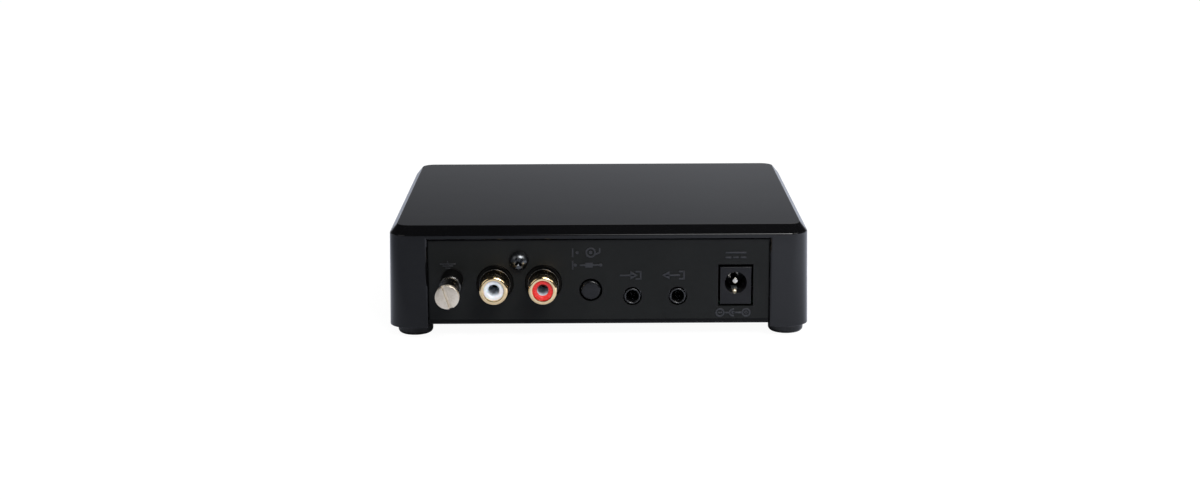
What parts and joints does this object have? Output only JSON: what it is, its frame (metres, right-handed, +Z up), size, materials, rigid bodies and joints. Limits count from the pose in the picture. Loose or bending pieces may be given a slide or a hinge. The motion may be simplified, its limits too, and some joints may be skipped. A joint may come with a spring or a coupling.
{
  "type": "phono preamplifier",
  "caption": "Small flat box with a chamfered top, phono and 3.5 mm sockets, power jack, selector button and ground screw on a recessed rear panel.",
  "frame": {"origin": "on the surface the feet stand on, midway in X, and in Y midway between the ground screw's tip and the plain front", "axes": "+Z up; -Y is the way the sockets face; +X is to the right when looking at the sockets"},
  "size_m": [0.122, 0.124, 0.0331],
  "materials": {
    "shell_gloss": "moulded black, polished",
    "panel_matt": "moulded black, fine matt",
    "cover_matt": "moulded black, matt",
    "socket_black": "moulded black, satin",
    "foot_rubber": "black rubber, matt",
    "gold_plate": "gold plated, bright",
    "insert_white": "white nylon",
    "insert_red": "red nylon",
    "tin_plate": "tinned, satin",
    "nickel_turned": "nickel plated, turned face",
    "black_zinc": "black plated, bright",
    "board_green": "green solder mask",
    "can_sleeve": "shrunk sleeve",
    "film_red": "dipped box",
    "chip_black": "moulded epoxy",
    "resistor_blue": "lacquered",
    "lead_green": "insulated wire",
    "plunger_white": "nylon",
    "light_clear": "clear acrylic",
    "light_blue": "tinted epoxy"
  },
  "bodies": {
    "root": {"top_shell": "shell_gloss", "bottom_cover": "cover_matt", "case_screws": "tin_plate", "feet": "foot_rubber", "rear_panel": "panel_matt", "circuit_board": "board_green", "board_screws": "tin_plate", "phono_housing": "socket_black", "left_phono_shell": "gold_plate", "right_phono_shell": "gold_plate", "left_phono_insert": "insert_white", "right_phono_insert": "insert_red", "left_phono_contact": "tin_plate", "right_phono_contact": "tin_plate", "phono_fixing_screw": "black_zinc", "line_in_socket": "socket_black", "line_out_socket": "socket_black", "line_in_contacts": "tin_plate", "line_out_contacts": "tin_plate", "power_socket": "socket_black", "power_centre_pin": "tin_plate", "power_spring_contact": "tin_plate", "selector_spring": "tin_plate", "selector_switch": "chip_black", "ground_bush": "socket_black", "ground_nut": "tin_plate", "ground_solder_tag": "tin_plate", "ground_lead": "lead_green", "supply_capacitors": "can_sleeve", "signal_capacitors": "can_sleeve", "film_capacitors": "film_red", "amplifier_chips": "chip_black", "resistors": "resistor_blue", "voltage_regulator": "chip_black", "power_light": "light_blue", "light_pipe": "light_clear"},
    "selector": {"selector_button": "panel_matt", "selector_plunger": "plunger_white"},
    "screw_carrier": {"ground_washer": "nickel_turned"},
    "ground_screw": {"ground_thumbscrew": "nickel_turned"}
  },
  "joints": [
    {"name": "selector_press", "type": "slide", "parent": "root", "child": "selector", "axis": [0, 1, 0], "range_m": [0, 0.0024], "stiffness_N_per_m": 300, "deforming": ["selector_spring"]},
    {"name": "ground_screw_travel", "type": "slide", "parent": "root", "child": "screw_carrier", "axis": [0, -1, 0], "range_m": [0, 0.0035]},
    {"name": "ground_screw_turn", "type": "hinge", "parent": "screw_carrier", "child": "ground_screw", "pos_m": [-0.04235, -0.05, 0.0173], "axis": [0, -1, 0], "range_deg": [0, 1800]}
  ],
  "couplings": [
    {"joint": "ground_screw_turn", "follows": "ground_screw_travel", "rad_per_m": 8976}
  ]
}
